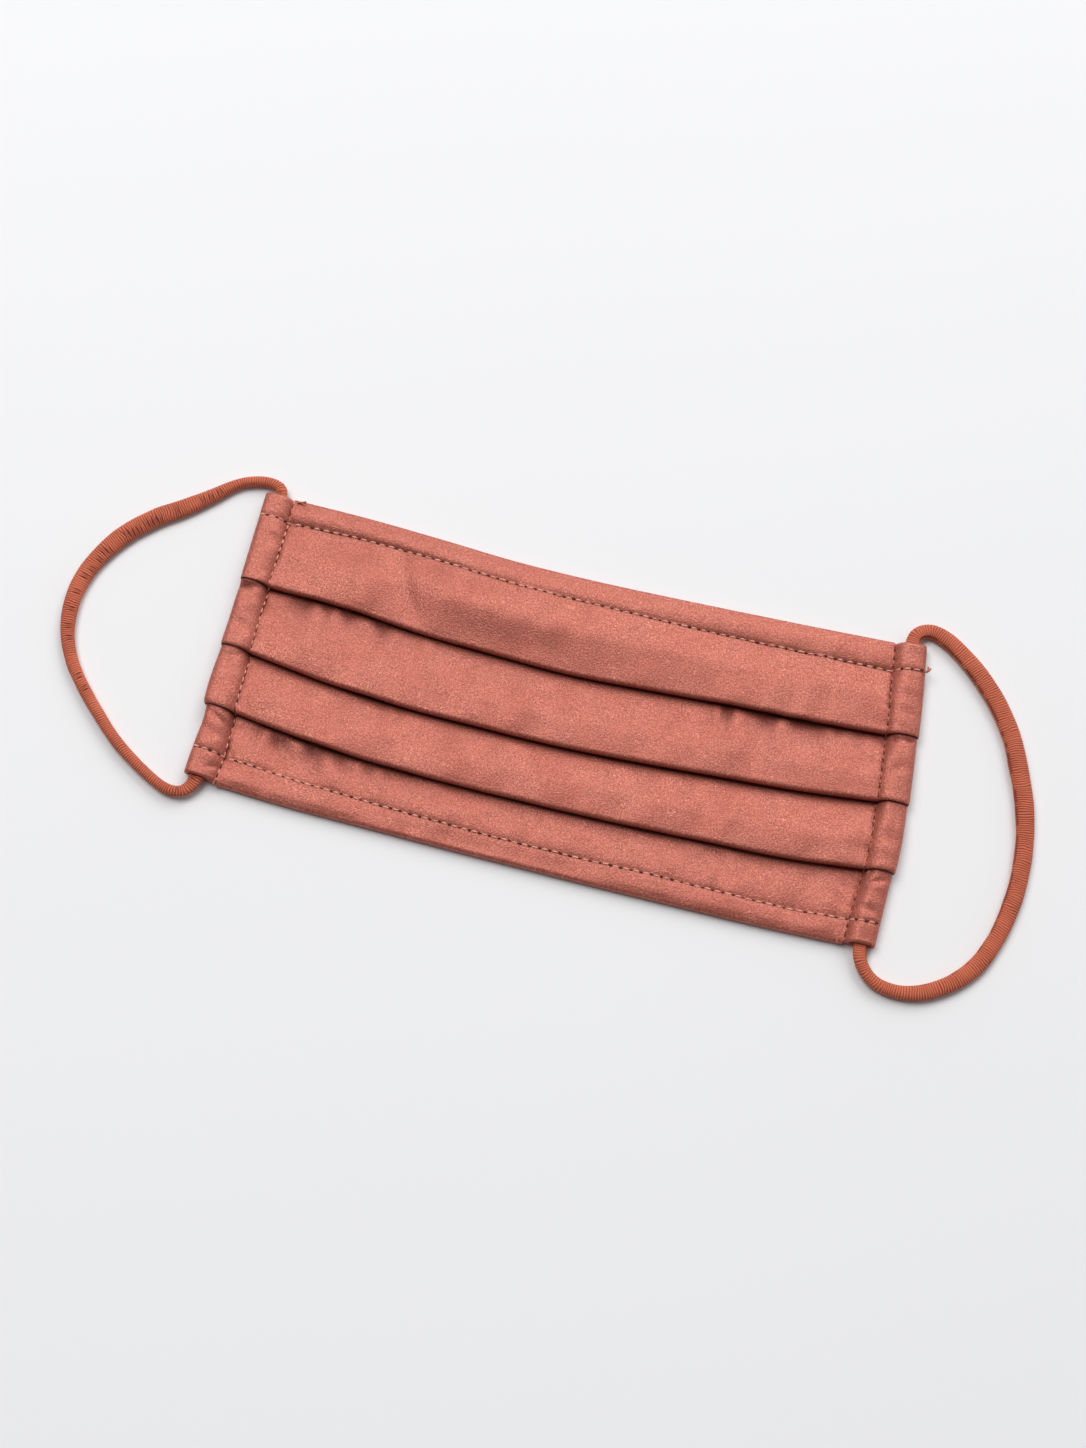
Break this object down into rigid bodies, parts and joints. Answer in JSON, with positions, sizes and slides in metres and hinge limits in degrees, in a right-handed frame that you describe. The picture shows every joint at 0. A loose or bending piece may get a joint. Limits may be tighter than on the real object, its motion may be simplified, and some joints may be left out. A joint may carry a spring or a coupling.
{
  "type": "pleated cloth face mask",
  "caption": "Pleated cloth face mask lying flat, with stitched side casings that hold elastic ear loops.",
  "frame": {"origin": "middle of the back of the panel and its two casings, on the surface that the mask lies on", "axes": "+X along the mask's width, to the right as seen from the front; +Y to the top edge; +Z out of the front, upwards as it lies"},
  "size_m": [0.2742, 0.106, 0.0055],
  "materials": {
    "satin": "coral satin with a crepe grain and a soft sheen",
    "gathered_elastic": "gathered matte cloth over elastic, a little more orange than the satin"
  },
  "bodies": {
    "root": {"pleated_panel": "satin", "casing_left": "satin", "casing_right": "satin", "ear_loop_left": "gathered_elastic", "ear_loop_right": "gathered_elastic"}
  },
  "joints": []
}
